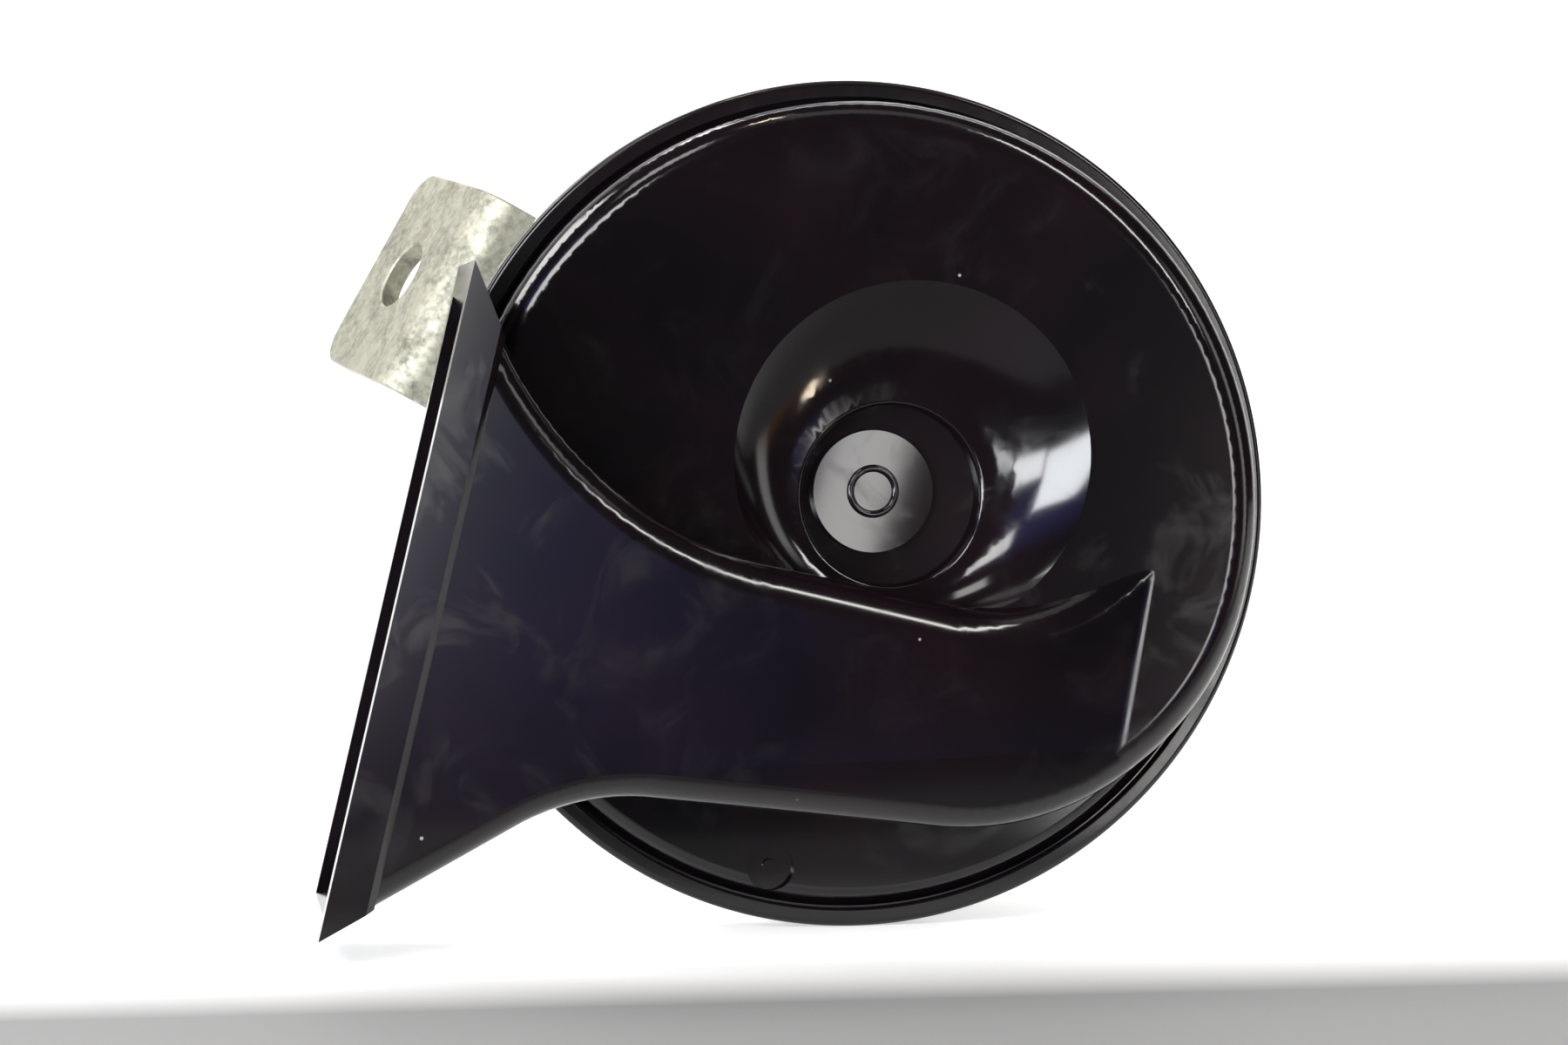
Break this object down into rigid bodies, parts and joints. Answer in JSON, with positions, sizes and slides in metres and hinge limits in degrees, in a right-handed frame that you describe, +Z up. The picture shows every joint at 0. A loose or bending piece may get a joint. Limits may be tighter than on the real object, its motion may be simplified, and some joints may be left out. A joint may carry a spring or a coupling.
{
  "type": "car horn",
  "caption": "Electromagnetic snail car horn: steel pot with diaphragm drive, coiled black plastic sound duct with flared side mouth, and bent strip bracket on a central stud.",
  "frame": {"origin": "centre of the fixing hole in the bracket's leg, half way through its sheet", "axes": "standing as in the picture: +Z up, the duct's front face towards -Y, the stud and terminals towards +Y, the mouth on the -X side"},
  "size_m": [0.1093, 0.0745, 0.096],
  "materials": {
    "front_plastic": "high-gloss moulded black",
    "rear_plastic": "gloss moulded black",
    "pot_paint": "gloss black paint on drawn steel",
    "gasket": "dark fibre sheet",
    "spring_steel": "rolled spring steel",
    "bare_steel": "turned steel",
    "bobbin_plastic": "natural moulded plastic",
    "copper_winding": "enamelled copper wire",
    "breaker_plastic": "brown laminated insulation",
    "arm_metal": "brass strip",
    "contact_metal": "pale contact metal",
    "button_plastic": "pale insulating button",
    "rivet_steel": "zinc-plated rivets",
    "screw_steel": "passivated screw with sealing lacquer",
    "terminal_plastic": "black moulded insulation",
    "blade_metal": "tinned brass",
    "bracket_zinc": "mottled zinc-plated strip",
    "fastener_zinc": "zinc-plated"
  },
  "bodies": {
    "root": {"trumpet_front_shell": "front_plastic", "trumpet_rear_shell": "rear_plastic", "housing_pot": "pot_paint", "rear_gasket": "gasket", "front_gasket": "gasket", "diaphragm": "spring_steel", "armature": "bare_steel", "armature_washer": "bare_steel", "magnet_core": "bare_steel", "coil_bobbin": "bobbin_plastic", "coil_winding": "copper_winding", "breaker_block": "breaker_plastic", "fixed_contact_arm": "arm_metal", "breaker_insulator": "breaker_plastic", "contact_spring": "spring_steel", "breaker_clamp_strip": "breaker_plastic", "fixed_contact_point": "contact_metal", "moving_contact_point": "contact_metal", "push_button": "button_plastic", "breaker_rivets": "rivet_steel", "adjusting_screw": "screw_steel", "terminal_block": "terminal_plastic", "live_terminal_blade": "blade_metal", "earth_terminal_blade": "blade_metal", "terminal_rivets": "rivet_steel", "mounting_bracket": "bracket_zinc", "lock_washer": "fastener_zinc", "stud_nut": "fastener_zinc"}
  },
  "joints": []
}
